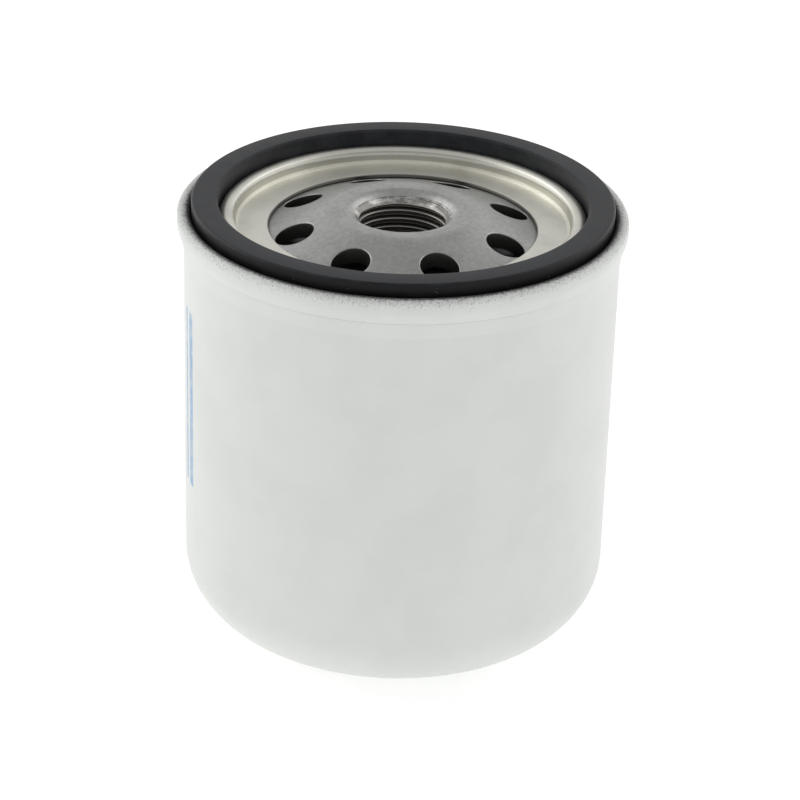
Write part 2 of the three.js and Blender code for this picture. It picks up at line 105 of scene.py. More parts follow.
LAND_LEVEL = -5.0
LAND_INNER_RADIUS = 22.65
BEAD_CREST_LEVEL = -2.5
BEAD_INNER_RADIUS = 28.2

PLATE_RADIUS = box_mm("base_plate")[0]
PLATE_THICKNESS = 2.75
PLATE_RIM_LEVEL = -5.75
CONE_SLOPE = 0.35
INLET_COUNT = 8
INLET_RADIUS = 3.2
INLET_CIRCLE_RADIUS = 19.0
INLET_FIRST_ANGLE = math.radians(19.1)

THREAD_MAJOR_RADIUS = 8.0
THREAD_PITCH = 1.5
THREAD_MINOR_RADIUS = THREAD_MAJOR_RADIUS - 0.5413 * THREAD_PITCH
COLLAR_RADIUS = 9.7
COLLAR_BOTTOM = -15.0
THREAD_TOP = -2.15  # start of the thread's groove, at angle 0
THREAD_BOTTOM = -12.4
CHAMFER_BOTTOM = -4.28
RELIEF_RADIUS = THREAD_MAJOR_RADIUS + 0.1
RELIEF_TOP = THREAD_BOTTOM - 0.6  # below this the bore has its full relief radius

CAP_SHEET = 0.5
CAP_RADIUS = box_mm("upper_end_cap")[0]
CAP_SKIRT = 3.75
WELL_RADIUS = 13.05
TUBE_RADIUS = box_mm("center_tube")[0]
TUBE_SHEET = 0.5

MEDIA_INNER_RADIUS = 16.1
MEDIA_OUTER_RADIUS = 31.4
MEDIA_THICKNESS = 0.8
PLEAT_COUNT = 32
FOLD_HALF_WIDTH = 0.55

BYPASS_SHEET = 0.5
BYPASS_PLATE_SHEET = 0.7
PIN_RADIUS = 1.25
PIN_HOLE_RADIUS = 1.35

GAP = 0.05  # left between pieces that bear on each other
GASKET_CLEARANCE = 0.1

FINE = 256  # segments round the pieces that show
COARSE = 128  # segments round the pieces inside
WELD_DISTANCE = 0.002  # mm


# ---------------------------------------------------------------- outlines

def unit(vector):
    return vector / np.linalg.norm(vector)


def rounded(corners, closed=False, step=math.radians(9)):
    """Corners (x, y, fillet) to points, with each fillet as an arc of short steps."""
    flat = [np.array(corner[:2], float) for corner in corners]
    points = []
    for i, corner in enumerate(corners):
        fillet = corner[2] if len(corner) > 2 else 0
        if fillet == 0:
            points.append(flat[i])
            continue
        back = unit(flat[i - 1] - flat[i])
        ahead = unit(flat[(i + 1) % len(flat)] - flat[i])
        half = math.acos(np.clip(back @ ahead, -1, 1)) / 2
        center = flat[i] + unit(back + ahead) * fillet / math.sin(half)
        first = flat[i] + back * fillet / math.tan(half) - center
        last = flat[i] + ahead * fillet / math.tan(half) - center
        sweep = math.atan2(first[0] * last[1] - first[1] * last[0], first @ last)
        steps = max(3, math.ceil(abs(sweep) / step))
        for k in range(steps + 1):
            angle = sweep * k / steps
            turn = np.array([[math.cos(angle), -math.sin(angle)], [math.sin(angle), math.cos(angle)]])
            points.append(center + turn @ first)
    return np.array(points + points[:1]) if closed else np.array(points)


def offset_sides(path, thickness, closed=False):
    """Both faces of a sheet that follows a path, half the thickness to each side."""
    edges = np.diff(np.vstack([path, path[:1]]), axis=0) if closed else np.diff(path, axis=0)
    normals = np.column_stack([-edges[:, 1], edges[:, 0]])
    normals /= np.linalg.norm(normals, axis=1)[:, None]
    if closed:
        before, after = np.roll(normals, 1, axis=0), normals
    else:
        before, after = np.vstack([normals[:1], normals]), np.vstack([normals, normals[-1:]])
    mitre = (before + after) / (1 + (before * after).sum(axis=1))[:, None]
    return path + mitre * thickness / 2, path - mitre * thickness / 2


def sheet_outline(corners, thickness):
    """Closed outline of a bent sheet, with its two cut edges broken by a small chamfer."""
    edge = 0.12
    path = rounded(corners)
    one, other = offset_sides(path, thickness)
    start, end = unit(path[1] - path[0]), unit(path[-2] - path[-1])
    across_start, across_end = unit(one[0] - other[0]), unit(one[-1] - other[-1])
    one_start, other_start = one[0] - across_start * edge, other[0] + across_start * edge
    one_end, other_end = one[-1] - across_end * edge, other[-1] + across_end * edge
    one[0] += start * edge
    other[0] += start * edge
    one[-1] += end * edge
    other[-1] += end * edge
    return np.vstack([one_start, one, one_end, other_end, other[::-1], other_start, one_start])


# ---------------------------------------------------------------- meshes

def turned_grid(outline, angles):
    """Grid of points: one row for each outline point, one column for each angle."""
    radius, height = outline[:, :1], outline[:, 1:]
    ones = np.ones(len(angles))
    return np.stack([radius * np.cos(angles), radius * np.sin(angles), height * ones], axis=-1)


def welded(name, grids, sharp=38):
    """One smooth-shaded mesh from grids of points in mm, or (grid, material index) pairs."""
    points, faces, indices, first = [], [], [], 0
    for entry in grids:
        grid, material_index = entry if isinstance(entry, tuple) else (entry, 0)
        rows, columns = grid.shape[:2]
        index = first + np.arange(rows * columns).reshape(rows, columns)
        quads = np.stack([index[:-1, :-1], index[1:, :-1], index[1:, 1:], index[:-1, 1:]], axis=-1)
        faces.append(quads.reshape(-1, 4))
        indices.append(np.full((rows - 1) * (columns - 1), material_index))
        points.append(grid.reshape(-1, 3))
        first += rows * columns
    mesh = bpy.data.meshes.new(name)
    mesh.from_pydata((np.concatenate(points) * MM).tolist(), [], np.concatenate(faces).tolist())
    mesh.polygons.foreach_set("material_index", np.concatenate(indices).astype(np.int32))
    work = bmesh.new()
    work.from_mesh(mesh)
    bmesh.ops.remove_doubles(work, verts=work.verts, dist=WELD_DISTANCE * MM)
    bmesh.ops.recalc_face_normals(work, faces=work.faces)
    work.to_mesh(mesh)
    work.free()
    return shown(name, mesh, sharp)


def linked(name, data):
    """A new object in the scene."""
    item = bpy.data.objects.new(name, data)
    bpy.context.scene.collection.objects.link(item)
    return item


def shown(name, mesh, sharp=38):
    """A piece, smooth-shaded except at edges of more than sharp degrees."""
    mesh.shade_smooth()
    mesh.set_sharp_from_angle(angle=math.radians(sharp))
    return linked(name, mesh)


def from_bmesh(name, work):
    """An object made from a bmesh, which is freed."""
    mesh = bpy.data.meshes.new(name)
    work.to_mesh(mesh)
    work.free()
    return linked(name, mesh)


def turned(name, outline, segments=COARSE, base=0.0):
    """Turns an outline about Z. base is the height that the outline is measured from."""
    angles = np.linspace(0, TURN, segments + 1)
    return welded(name, [turned_grid(outline + np.array([0, base]), angles)])


def turned_sheet(name, corners, thickness, segments=COARSE, base=0.0):
    return turned(name, sheet_outline(corners, thickness), segments, base)


def turned_ring(name, node, inner_radius, fillet):
    """Ring of rectangular section that fills a CAD ring, with rounded edges."""
    outer_radius, bottom, top = box_mm(node)
    outline = rounded([
        (inner_radius, bottom, fillet),
        (outer_radius, bottom, fillet),
        (outer_radius, top, fillet),
        (inner_radius, top, fillet),
    ], closed=True)
    return turned(name, outline)


def standing_sheet(name, path, thickness, bottom, top, closed):
    """A sheet that stands upright along a path in the XY plane."""
    one, other = offset_sides(path, thickness, closed)
    if closed:
        one, other = np.vstack([one, one[:1]]), np.vstack([other, other[:1]])
        loop = [(one, bottom), (one, top), (other, top), (other, bottom), (one, bottom)]
        rows = [np.column_stack([side, np.full(len(side), height)]) for side, height in loop]
        return welded(name, [np.stack(rows)])
    ring = np.vstack([one, other[::-1], one[:1]])
    middle = np.vstack([path, path[::-1], path[:1]])
    loop = [(middle, bottom), (ring, bottom), (ring, top), (middle, top)]
    rows = [np.column_stack([side, np.full(len(side), height)]) for side, height in loop]
    return welded(name, [np.stack(rows)])


def wire_coil(name, wire_radius, turns, top_radius, bottom_radius, top, bottom):
    """Compression spring, wound right-handed, with flat end turns and domed wire ends."""
    steps, around = round(turns * 72), 20
    share = np.linspace(0, 1, steps + 1)
    flat = 0.5 / turns
    rise = np.clip((share - flat) / (1 - 2 * flat), 0, 1)
    rise = rise * rise * (3 - 2 * rise) * 0.25 + rise * 0.75
    angle = -share * turns * TURN
    radius = top_radius + (bottom_radius - top_radius) * share
    height = (top - wire_radius) + (bottom - top + 2 * wire_radius) * rise
    center = np.column_stack([radius * np.cos(angle), radius * np.sin(angle), height])
    tangent = np.gradient(center, axis=0)
    tangent /= np.linalg.norm(tangent, axis=1)[:, None]
    outward = np.column_stack([np.cos(angle), np.sin(angle), np.zeros(steps + 1)])
    upward = np.cross(tangent, outward)
    spin = np.linspace(0, TURN, around + 1)[None, :, None]
    ring = outward[:, None] * np.cos(spin) + upward[:, None] * np.sin(spin)
    body = center[:, None] + ring * wire_radius
    ends = []
    for i, side in ((0, -1), (-1, 1)):
        for dome in (0.4, 0.75, 0.93, 1.0):
            past = side * tangent[i] * wire_radius * dome * 0.6
            shrink = math.sqrt(1 - dome * dome)
            ends.append(center[i] + past + ring[i] * wire_radius * shrink)
    grid = np.concatenate([np.array(ends[3::-1]), body, np.array(ends[4:])])
    return welded(name, [grid], sharp=60)


def subtract(piece, cutters):
    """Cuts solids out of a piece and removes the cutters."""
    for cutter in cutters:
        modifier = piece.modifiers.new("cut", "BOOLEAN")
        modifier.operation = "DIFFERENCE"
        modifier.solver = "EXACT"
        modifier.object = cutter
    graph = bpy.context.evaluated_depsgraph_get()
    mesh = bpy.data.meshes.new_from_object(piece.evaluated_get(graph))
    name = piece.name
    for used in [piece] + cutters:
        bpy.data.objects.remove(used)
    return shown(name, mesh, sharp=30)


# ---------------------------------------------------------------- can and seam

def can_shell():
    inner_radius = CAN_RADIUS - CAN_WALL
    foot_radius = CAN_RADIUS - CAN_CORNER_RADIUS
    dish_slope = 1.4
    outside = rounded([
        (0, DISH_DEPTH),
        (DISH_RADIUS - dish_slope, DISH_DEPTH, 1.2),
        (DISH_RADIUS, 0, 1.2),
        (foot_radius - 1, 0),
        (CAN_RADIUS, 0, CAN_CORNER_RADIUS),
        (CAN_RADIUS, TOP + FLARE_BOTTOM, 3.0),
        (FLARE_RADIUS - 0.02, TOP + FLARE_TOP - 0.24, 0.3),
        (FLARE_RADIUS, TOP + FLARE_TOP, 0.03),
        (CAN_RADIUS, TOP + FLARE_TOP),
        (CAN_RADIUS, TOP + FLANGE_TOP),
    ])
    inside = rounded([
        (inner_radius, TOP + FLANGE_TOP),
        (inner_radius, CAN_WALL, CAN_CORNER_RADIUS - CAN_WALL),
        (DISH_RADIUS + CAN_WALL, CAN_WALL, 0.9),
        (DISH_RADIUS + CAN_WALL - dish_slope, DISH_DEPTH + CAN_WALL, 0.9),
        (0, DISH_DEPTH + CAN_WALL),
    ])
    angles = np.linspace(0, TURN, FINE + 1)
    join = np.vstack([outside[-1:], inside])
    return welded("can_shell", [turned_grid(outside, angles), (turned_grid(join, angles), 1)])


def seamed_lid():
    """Land, bead, gasket groove, and the outer edge rolled down over the can's flange."""
    half = RETAINER_SHEET / 2
    bead_round = 1.05
    bead_inner = BEAD_INNER_RADIUS + half
    bead_crest = BEAD_CREST_LEVEL - half
    flank_radius = GASKET_INNER_RADIUS - GASKET_CLEARANCE - half
    groove_level = -GASKET_HEIGHT - GASKET_CLEARANCE - half
    groove_wall_radius = CAN_RADIUS - CAN_WALL - GAP - half
    crown = SEAM_TOP - half
    seam_wall_radius = SEAM_RADIUS - half
    outline = sheet_outline([
        (LAND_INNER_RADIUS, LAND_LEVEL - half),
        (bead_inner - 0.15, LAND_LEVEL - half, 0.42),
        (bead_inner, bead_crest, bead_round),
        (flank_radius, bead_crest, bead_round),
        (flank_radius, groove_level, 0.35),
        (groove_wall_radius, groove_level, 0.35),
        (groove_wall_radius, crown, 0.65),
        (seam_wall_radius, crown, 0.65),
        (seam_wall_radius, SEAM_TAPER_LEVEL, 3.0),
        (SEAM_HEM_RADIUS, SEAM_BOTTOM),
    ], RETAINER_SHEET)
    hem_inner = CAN_RADIUS + 0.04  # the hem's inner face stays just clear of the can
    over_can = outline[:, 0] > CAN_RADIUS - 0.15
    outline[over_can, 0] = np.maximum(outline[over_can, 0], hem_inner)
    return turned("seamed_lid", outline, FINE, TOP)


def gasket():
    inner, outer = GASKET_INNER_RADIUS, GASKET_OUTER_RADIUS
    outline = rounded([
        (inner, -GASKET_HEIGHT, 0.3),
        (outer, -GASKET_HEIGHT, 0.3),
        (outer, 0, 0.5),
        (inner, 0, 0.45),
    ], closed=True)
    return turned("square_gasket", outline, FINE, TOP)


def seam_compound():
    inner, outer = 36.4, 37.05
    bottom, top = FLANGE_TOP + GAP, -2.8
    outline = rounded([
        (inner, bottom, 0.15),
        (outer, bottom, 0.15),
        (outer, top, 0.15),
        (inner, top, 0.15),
    ], closed=True)
    return turned("seam_compound_ring", outline, COARSE, TOP)


# ---------------------------------------------------------------- base plate

SECTOR = TURN / INLET_COUNT
SECTOR_STEPS = 32
SIDE_STEPS = 16
CELL_INNER_RADIUS = 14.7  # each inlet sits in a cell between these radii
CELL_OUTER_RADIUS = 23.3
RIM_ROUND = 0.22  # rounding of an inlet's upper edge
BURR_ROUND = 0.12
THREAD_ROWS = 22  # rows of points in one pitch
MOUTH_LEVEL = -3.25  # above and below these levels the bore is wider than the thread
RELIEF_LEVEL = -12.95


def cone_level(radius):
    return PLATE_RIM_LEVEL + CONE_SLOPE * np.maximum(LAND_INNER_RADIUS - radius, 0)


def bore_radius(level):
    """Radius of the bore without its thread: relief, straight bore, and a chamfer in two slopes."""
    levels = [RELIEF_TOP, THREAD_BOTTOM, CHAMFER_BOTTOM, -3.35, -2.65]
    radii = [RELIEF_RADIUS, THREAD_MINOR_RADIUS, THREAD_MINOR_RADIUS, 7.95, 8.5]
    return np.interp(level, levels, radii)


def threaded_radius(angle, level):
    """Radius of the bore with a 60 degree groove, slightly rounded at its root and crest."""
    phase = (level - THREAD_TOP) / THREAD_PITCH - angle / TURN
    from_root = np.abs(phase - np.round(phase)) * THREAD_PITCH
    depth = THREAD_MAJOR_RADIUS - THREAD_MINOR_RADIUS
    along = np.clip((from_root - THREAD_PITCH / 16) / (depth * math.tan(math.pi / 6)), 0, 1)
    eased = along - 0.05 * np.sin(TURN * along)
    return np.maximum(THREAD_MAJOR_RADIUS - depth * eased, bore_radius(level))


def thread_grid(angles):
    """Rows follow the helix, and collapse onto the level rings at both ends."""
    step = THREAD_PITCH / THREAD_ROWS
    rows = math.ceil((MOUTH_LEVEL - RELIEF_LEVEL) / step) + THREAD_ROWS
    lift = (angles - angles[0]) / TURN * THREAD_PITCH
    level = MOUTH_LEVEL - np.arange(rows + 1)[:, None] * step + lift[None, :]
    level = np.clip(level, RELIEF_LEVEL, MOUTH_LEVEL)
    radius = threaded_radius(angles[None, :], level)
    return np.stack([radius * np.cos(angles), radius * np.sin(angles), level], axis=-1)


def inlet_cell(center_angle):
    """Both faces of one sector of the plate, and the wall of the inlet through it."""
    inner_arc = np.linspace(-SECTOR / 2, SECTOR / 2, SECTOR_STEPS + 1)
    side = np.linspace(CELL_INNER_RADIUS, CELL_OUTER_RADIUS, SIDE_STEPS + 1)
    angle = center_angle + np.concatenate([
        inner_arc[:-1],
        np.full(SIDE_STEPS, SECTOR / 2),
        inner_arc[:0:-1],
        np.full(SIDE_STEPS + 1, -SECTOR / 2),
    ])
    radius = np.concatenate([
        np.full(SECTOR_STEPS, CELL_INNER_RADIUS),
        side[:-1],
        np.full(SECTOR_STEPS, CELL_OUTER_RADIUS),
        side[::-1],
    ])
    border = np.column_stack([radius * np.cos(angle), radius * np.sin(angle)])
    center = INLET_CIRCLE_RADIUS * np.array([math.cos(center_angle), math.sin(center_angle)])
    spoke = border - center
    spoke /= np.linalg.norm(spoke, axis=1)[:, None]

    def face(rounding, depth, sign):
        """Rows from the inlet's wall out to the border. sign is 1 on the upper face."""
        rows = []
        for turn in np.linspace(0, math.pi / 2, 6):
            flat = center + spoke * (INLET_RADIUS + rounding * (1 - math.cos(turn)))
            drop = depth + sign * rounding * (1 - math.sin(turn))
            rows.append((flat, drop))
        start = rows[-1][0]
        rows += [(start + (border - start) * t, depth) for t in np.linspace(0, 1, 9)[1:]]
        levels = [cone_level(np.linalg.norm(flat, axis=1)) - drop for flat, drop in rows]
        return [np.column_stack([flat, level]) for (flat, _), level in zip(rows, levels)]

    upper = face(RIM_ROUND, 0, 1)
    lower = face(BURR_ROUND, PLATE_THICKNESS, -1)
    wall = [lower[0] + (upper[0] - lower[0]) * t for t in (1 / 3, 2 / 3)]
    return np.stack(lower[::-1] + wall + upper)


def base_plate():
    start = INLET_FIRST_ANGLE - SECTOR / 2
    angles = start + np.linspace(0, TURN, INLET_COUNT * SECTOR_STEPS + 1)
    crest_outer, crest_inner, crest_level = 12.4, 9.15, -2.24
    chamfer_radius = 8.2
    mouth = rounded([
        (CELL_INNER_RADIUS, cone_level(CELL_INNER_RADIUS)),
        (crest_outer, cone_level(crest_outer) - 0.03, 5.5),
        (crest_inner, crest_level, 2.0),
        (chamfer_radius, MOUTH_LEVEL + 0.12),
        (chamfer_radius, MOUTH_LEVEL + 0.06),
        (bore_radius(MOUTH_LEVEL), MOUTH_LEVEL),
    ])
    collar = rounded([
        (bore_radius(RELIEF_LEVEL), RELIEF_LEVEL),
        (RELIEF_RADIUS, RELIEF_TOP),
        (RELIEF_RADIUS, COLLAR_BOTTOM, 0.2),
        (COLLAR_RADIUS, COLLAR_BOTTOM, 0.3),
        (COLLAR_RADIUS, cone_level(10.4) - PLATE_THICKNESS, 1.6),
        (CELL_INNER_RADIUS, cone_level(CELL_INNER_RADIUS) - PLATE_THICKNESS),
    ])
    rim = rounded([
        (CELL_OUTER_RADIUS, PLATE_RIM_LEVEL),
        (PLATE_RADIUS, PLATE_RIM_LEVEL, 0.5),
        (PLATE_RADIUS, PLATE_RIM_LEVEL - PLATE_THICKNESS, 0.3),
        (CELL_OUTER_RADIUS, PLATE_RIM_LEVEL - PLATE_THICKNESS),
    ])
    grids = [
        turned_grid(mouth, angles),
        thread_grid(angles),
        turned_grid(collar, angles),
        turned_grid(rim, angles),
    ]
    grids += [inlet_cell(INLET_FIRST_ANGLE + i * SECTOR) for i in range(INLET_COUNT)]
    lift = np.array([0, 0, TOP])
    return welded("tapped_base_plate", [grid + lift for grid in grids], sharp=42)


# ---------------------------------------------------------------- anti-drain valve

def anti_drain_valve():
    """Hub round the collar, a thin web, and a lip that closes on the base plate."""
    hub_inner = COLLAR_RADIUS + GAP
    hub_outer = WELL_RADIUS - 0.1
    hub_top, hub_bottom = -8.4, -13.75
    lip_outer, lip_inner = 25.8, 24.5
    lip_top = PLATE_RIM_LEVEL - PLATE_THICKNESS - GAP
    outline = rounded([
        (hub_inner, hub_bottom, 0.2),
        (hub_outer, hub_bottom, 0.4),
        (hub_outer, -10.2, 0.4),
        (lip_inner - 0.3, -9.6, 0.8),
        (lip_outer, -9.1, 0.25),
        (lip_outer, lip_top, 0.15),
        (lip_inner, lip_top, 0.2),
        (lip_inner - 0.9, -8.95, 0.6),
        (hub_outer + 0.45, -9.15, 0.7),
        (hub_outer - 0.55, hub_top, 0.3),
        (hub_inner, hub_top, 0.2),
    ], closed=True)
    return turned("drain_valve_rubber", outline, COARSE, TOP)


# ---------------------------------------------------------------- filter element

def upper_cap():
    half = CAP_SHEET / 2
    cap_top = box_mm("upper_end_cap")[2] - TOP
    floor_level = COLLAR_BOTTOM - GAP - half
    return turned_sheet("upper_cap_pressing", [
        (8.6, floor_level),
        (WELL_RADIUS + half, floor_level, 0.5),
        (WELL_RADIUS + half, cap_top - half, 0.5),
        (CAP_RADIUS - half, cap_top - half, 0.8),
        (CAP_RADIUS - half, cap_top - CAP_SKIRT),
    ], CAP_SHEET, COARSE, TOP)


def lower_cap():
    half = CAP_SHEET / 2
    bottom = box_mm("lower_end_cap")[1]
    return turned_sheet("lower_cap_pressing", [
        (9.0, bottom + half),
        (CAP_RADIUS - half, bottom + half, 0.8),
        (CAP_RADIUS - half, bottom + CAP_SKIRT),
    ], CAP_SHEET)


def pleats():
    """One closed loop of paper with rounded folds."""
    corners = []
    for i in range(2 * PLEAT_COUNT):
        radius = MEDIA_INNER_RADIUS if i % 2 else MEDIA_OUTER_RADIUS
        angle = math.pi * i / PLEAT_COUNT
        out = np.array([math.cos(angle), math.sin(angle)])
        along = np.array([-math.sin(angle), math.cos(angle)])
        for side in (-1, 1):
            corners.append((*(out * radius + along * side * FOLD_HALF_WIDTH), 0.46))
    path = rounded(corners, closed=True, step=math.radians(20))[:-1]
    _, bottom, top = box_mm("pleated_media")
    return standing_sheet("pleated_paper", path, MEDIA_THICKNESS, bottom, top, True)


def clip():
    half = FOLD_HALF_WIDTH + MEDIA_THICKNESS / 2 + 0.5
    outer = MEDIA_OUTER_RADIUS + MEDIA_THICKNESS / 2 + 0.25
    inner = outer - 4.65
    path = rounded([(inner, -half), (outer, -half, 0.4), (outer, half, 0.4), (inner, half)])
    _, bottom, top = box_mm("media_clip")
    return standing_sheet("paper_clip_strip", path, 0.35, bottom, top, False)


def perforated_tube():
    """Each drill goes right through the tube, so it makes two holes."""
    radius, bottom, top = box_mm("center_tube")
    outline = rounded([
        (radius - TUBE_SHEET, bottom, 0.1),
        (radius, bottom, 0.1),
        (radius, top, 0.1),
        (radius - TUBE_SHEET, top, 0.1),
    ], closed=True)
    tube = turned("perforated_tube", outline, 96)
    rows, row_pitch, drills_per_row = 5, 9, 3
    hole_radius, length = 2.4 * MM, 40 * MM
    cutters = []
    for row in range(rows):
        for k in range(drills_per_row):
            work = bmesh.new()
            bmesh.ops.create_cone(
                work, segments=40, radius1=hole_radius, radius2=hole_radius, depth=length, cap_ends=True,
            )
            drill = from_bmesh("drill", work)
            drill.rotation_euler = (math.pi / 2, 0, (k + (row % 2) / 2) * math.pi / drills_per_row)
            drill.location.z = ((bottom + top) / 2 + (row - (rows - 1) / 2) * row_pitch) * MM
            cutters.append(drill)
    return subtract(tube, cutters)


# ---------------------------------------------------------------- bypass valve

def bypass_seat():
    half = BYPASS_SHEET / 2
    outer, bottom, top = box_mm("bypass_seat")
    neck_radius, opening_radius = 8.6, 5.4
    return turned_sheet("bypass_neck", [
        (outer, bottom + half),
        (neck_radius, bottom + half, 0.5),
        (neck_radius, top - half, 0.6),
        (opening_radius, top - half),
    ], BYPASS_SHEET)


def bypass_plate():
    half = BYPASS_PLATE_SHEET / 2
    outer, bottom, top = box_mm("bypass_plate")
    return turned_sheet("bypass_cup", [
        (PIN_HOLE_RADIUS, bottom + half),
        (outer - half, bottom + half, 0.6),
        (outer - half, top),
    ], BYPASS_PLATE_SHEET)


def bypass_pin():
    _, bottom, top = box_mm("bypass_pin")
    head_radius, collar_radius = 2.8, 2.2
    head_top = box_mm("bypass_seal")[1] - GAP
    collar_bottom = box_mm("bypass_plate")[1] + BYPASS_PLATE_SHEET + GAP
    collar_top = collar_bottom + 0.6
    outline = rounded([
        (0, bottom),
        (head_radius - 0.5, bottom, 0.3),
        (head_radius, bottom + 0.5, 0.15),
        (head_radius, head_top, 0.05),
        (PIN_RADIUS, head_top, 0.05),
        (PIN_RADIUS, collar_bottom, 0.05),
        (collar_radius, collar_bottom, 0.1),
        (collar_radius, collar_top, 0.15),
        (PIN_RADIUS, collar_top, 0.15),
        (PIN_RADIUS, top - 0.4, 0.3),
        (PIN_RADIUS - 0.35, top, 0.3),
        (0, top),
    ])
    return turned("bypass_rivet", outline, 64)


def bypass_cage():
    """Keeper with two windows cut right through it, so its wall has four."""
    half = BYPASS_SHEET / 2
    outer, bottom, top = box_mm("bypass_cage")
    wall_radius, guide_radius = 9.35, 1.6
    cage = turned_sheet("bypass_keeper", [
        (outer, bottom + half),
        (wall_radius, bottom + half, 0.5),
        (wall_radius, top - half, 0.9),
        (guide_radius, top - half),
    ], BYPASS_SHEET)
    length, width, height = 30 * MM, 7.5 * MM, 9.5 * MM
    corner, middle_level = 1.2 * MM, 19.8 * MM
    cutters = []
    for angle in (0, math.pi / 2):
        work = bmesh.new()
        bmesh.ops.create_cube(work, size=1)
        bmesh.ops.scale(work, vec=(length, width, height), verts=work.verts)
        long_edges = [e for e in work.edges if abs((e.verts[0].co - e.verts[1].co).x) > length / 2]
        bmesh.ops.bevel(work, geom=long_edges, offset=corner, segments=5, profile=0.5, affect="EDGES")
        window = from_bmesh("window", work)
        window.rotation_euler.z = angle
        window.location.z = middle_level
        cutters.append(window)
    return subtract(cage, cutters)


# ---------------------------------------------------------------- node helpers

def feed(tree, socket, value):
    if isinstance(value, bpy.types.NodeSocket):
        tree.links.new(value, socket)
    else:
        socket.default_value = value


def add(tree, kind, settings=None, inputs=None):
    item = tree.nodes.new("ShaderNode" + kind)
    for key, value in (settings or {}).items():
        setattr(item, key, value)
    for key, value in (inputs or {}).items():
        feed(tree, item.inputs[key], value)
    return item


def calc(tree, operation, *values):
    item = add(tree, "Math", {"operation": operation})
    for socket, value in zip(item.inputs, values):
        feed(tree, socket, value)
    return item.outputs[0]


def plus(tree, first, second):
    return calc(tree, "ADD", first, second)


def times(tree, first, second):
    return calc(tree, "MULTIPLY", first, second)


def varied(tree, middle, pattern, swing):
    """middle, moved up and down by a 0 to 1 pattern. swing is the whole range."""
    return plus(tree, middle, times(tree, calc(tree, "SUBTRACT", pattern, 0.5), swing))


def span(tree, value, low, high, start=0.0, end=1.0):
    """start below low, end above high, and a smooth step between them."""
    inputs = {"Value": value, "From Min": low, "From Max": high, "To Min": start, "To Max": end}
    return add(tree, "MapRange", {"interpolation_type": "SMOOTHSTEP"}, inputs).outputs[0]


def mixed(tree, factor, first, second):
    """Colour between first and second."""
    item = add(tree, "Mix", {"data_type": "RGBA"})
    feed(tree, item.inputs[0], factor)
    feed(tree, item.inputs[6], (*first, 1) if isinstance(first, tuple) else first)
    feed(tree, item.inputs[7], (*second, 1) if isinstance(second, tuple) else second)
    return item.outputs[2]


def noise(tree, place, scale, detail=4.0, roughness=0.55):
    inputs = {"Vector": place, "Scale": scale, "Detail": detail, "Roughness": roughness}
    return add(tree, "TexNoise", None, inputs).outputs["Fac"]


def stretched(tree, place, scale):
    return add(tree, "VectorMath", {"operation": "MULTIPLY"}, {0: place, 1: scale}).outputs[0]


def new_finish(name):
    """A material, its shader, and the object's coordinates in mm."""
    material = bpy.data.materials.new(name)
    material.use_nodes = True
    tree = material.node_tree
    tree.nodes.clear()
    shader = add(tree, "BsdfPrincipled")
    output = add(tree, "OutputMaterial")
    tree.links.new(shader.outputs[0], output.inputs[0])
    place = stretched(tree, add(tree, "TexCoord").outputs["Object"], (1 / MM, 1 / MM, 1 / MM))
    return material, tree, shader, place


def facing_up(tree):
    """Z of the surface's own normal: 1 on a level top, 0 on an upright wall."""
    normal = add(tree, "TexCoord").outputs["Normal"]
    return add(tree, "SeparateXYZ", None, {0: normal}).outputs[2]


def set_bump(tree, shader, height, depth_mm):
    """Bump from a 0 to 1 height whose full depth is depth_mm."""
    bump = add(tree, "Bump", None, {"Height": height, "Distance": depth_mm * MM, "Strength": 1.0})
    tree.links.new(bump.outputs[0], shader.inputs["Normal"])


def polar(tree, place):
    """Radius, angle and height of a point, in mm and radians."""
    x, y, height = add(tree, "SeparateXYZ", None, {0: place}).outputs
    radius = calc(tree, "SQRT", plus(tree, times(tree, x, x), times(tree, y, y)))
    return radius, calc(tree, "ARCTAN2", y, x), height


# ---------------------------------------------------------------- finishes

ENAMEL = (0.715, 0.73, 0.702)
ENAMEL_SCUFFED = (0.61, 0.625, 0.60)
# Crown colour: part bare metal, part painted shade from the gap beside the gasket.
BARE_AND_SHADED_CROWN = (0.06, 0.06, 0.06)
THIN_ENAMEL = (0.26, 0.265, 0.265)
PRINT_BLUE = (0.13, 0.32, 0.56)

PLATING = (0.82, 0.81, 0.735)
PLATING_DARK = (0.62, 0.61, 0.54)
FOOT_HIGHLIGHT = (0.98, 0.96, 0.90)  # painted highlight: a bright line at the foot of the bead
FLANK_SHADE = (0.26, 0.25, 0.21)
LAND_EDGE_SHADOW = (0.16, 0.155, 0.14)

STEEL = (0.51, 0.51, 0.495)
STEEL_STAINED = (0.36, 0.36, 0.35)
CHAMFER_OILY = (0.27, 0.265, 0.245)
CHAMFER_WORN_AND_GLINT = (0.80, 0.79, 0.76)
BORE_SHADE = (0.34, 0.335, 0.31)
THREAD_ROOT_SHADE = (0.15, 0.142, 0.122)
INLET_WALL_SHADE = (0.09, 0.09, 0.085)

THREAD_CREST_UNSHADED = 7.25  # painted shade in the thread deepens between these radii
THREAD_ROOT_DARK = 7.8

NITRILE = (0.015, 0.016, 0.0185)
NITRILE_BLOOM = (0.030, 0.0315, 0.035)
NITRILE_WALL_SHADE = (0.003, 0.003, 0.0032)
DUST = (0.12, 0.12, 0.115)


